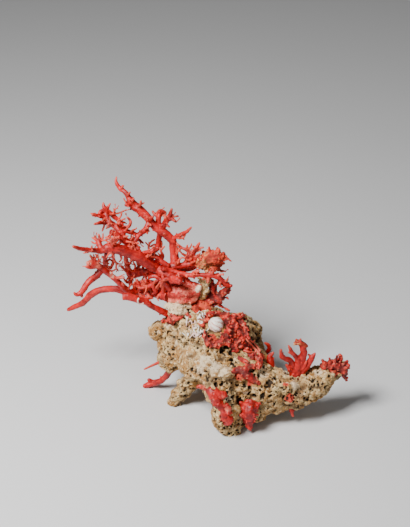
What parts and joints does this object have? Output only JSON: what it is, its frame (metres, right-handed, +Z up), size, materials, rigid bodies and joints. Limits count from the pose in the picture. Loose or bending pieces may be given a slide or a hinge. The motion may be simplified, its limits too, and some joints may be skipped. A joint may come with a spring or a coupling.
{
  "type": "red coral branch on rock",
  "caption": "Branching red coral growing from a loose lump of porous reef rock, with sprigs, crusts and a barnacle; stands on the rock's feet.",
  "frame": {"origin": "middle of the bounding box, on the surface that the rock stands on", "axes": "+X to the rock's long arm, +Y to the back, +Z up"},
  "size_m": [0.2868, 0.1442, 0.2219],
  "materials": {
    "coral": "dull unpolished red coral",
    "spongy_coral": "rough orange encrusted coral",
    "rock": "porous cream and tan reef rock",
    "shell": "chalky white barnacle shell"
  },
  "bodies": {
    "root": {"rock": "rock", "barnacle": "shell", "trunk": "coral", "spire_branch": "coral", "crown_branch": "coral", "cross_branch": "coral", "great_branch": "coral", "upper_left_branch": "coral", "middle_branch": "coral", "tangle": "coral", "lower_left_branch": "coral", "lower_left_fork": "coral", "long_lower_branch": "coral", "broken_branch": "coral", "right_lower_branch": "coral", "right_upper_branch": "coral", "spongy_cluster": "spongy_coral", "loop_cluster": "coral", "sponge_blob": "spongy_coral", "leg_branch": "coral", "leg_twig": "coral", "hook_twig": "coral", "cone_twig": "coral", "arm_sprig": "coral", "arm_horn": "coral", "arm_tip_sprig": "coral", "red_knob": "coral", "foot_coral": "coral", "ridge_coral": "coral", "field_coral": "coral", "under_twigs": "coral"}
  },
  "joints": []
}
